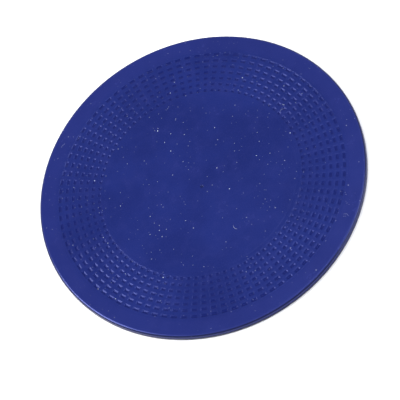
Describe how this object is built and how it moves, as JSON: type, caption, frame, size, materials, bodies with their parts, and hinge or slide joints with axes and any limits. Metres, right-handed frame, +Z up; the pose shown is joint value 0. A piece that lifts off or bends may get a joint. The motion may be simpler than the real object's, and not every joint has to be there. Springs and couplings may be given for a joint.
{
  "type": "round non-slip pad",
  "caption": "Thin round moulded elastomer pad with a plain centre, a ring-shaped band of small anti-slip pockets in its top face and a plain rounded rim.",
  "frame": {"origin": "centre of the flat underside, on the surface that the pad lies on", "axes": "+Z up, square to the disc, out of the textured face; +X runs through the middle of a column of pockets"},
  "size_m": [0.14, 0.14, 0.003],
  "materials": {
    "blue_elastomer": "satin"
  },
  "bodies": {
    "root": {"pad": "blue_elastomer"}
  },
  "joints": []
}
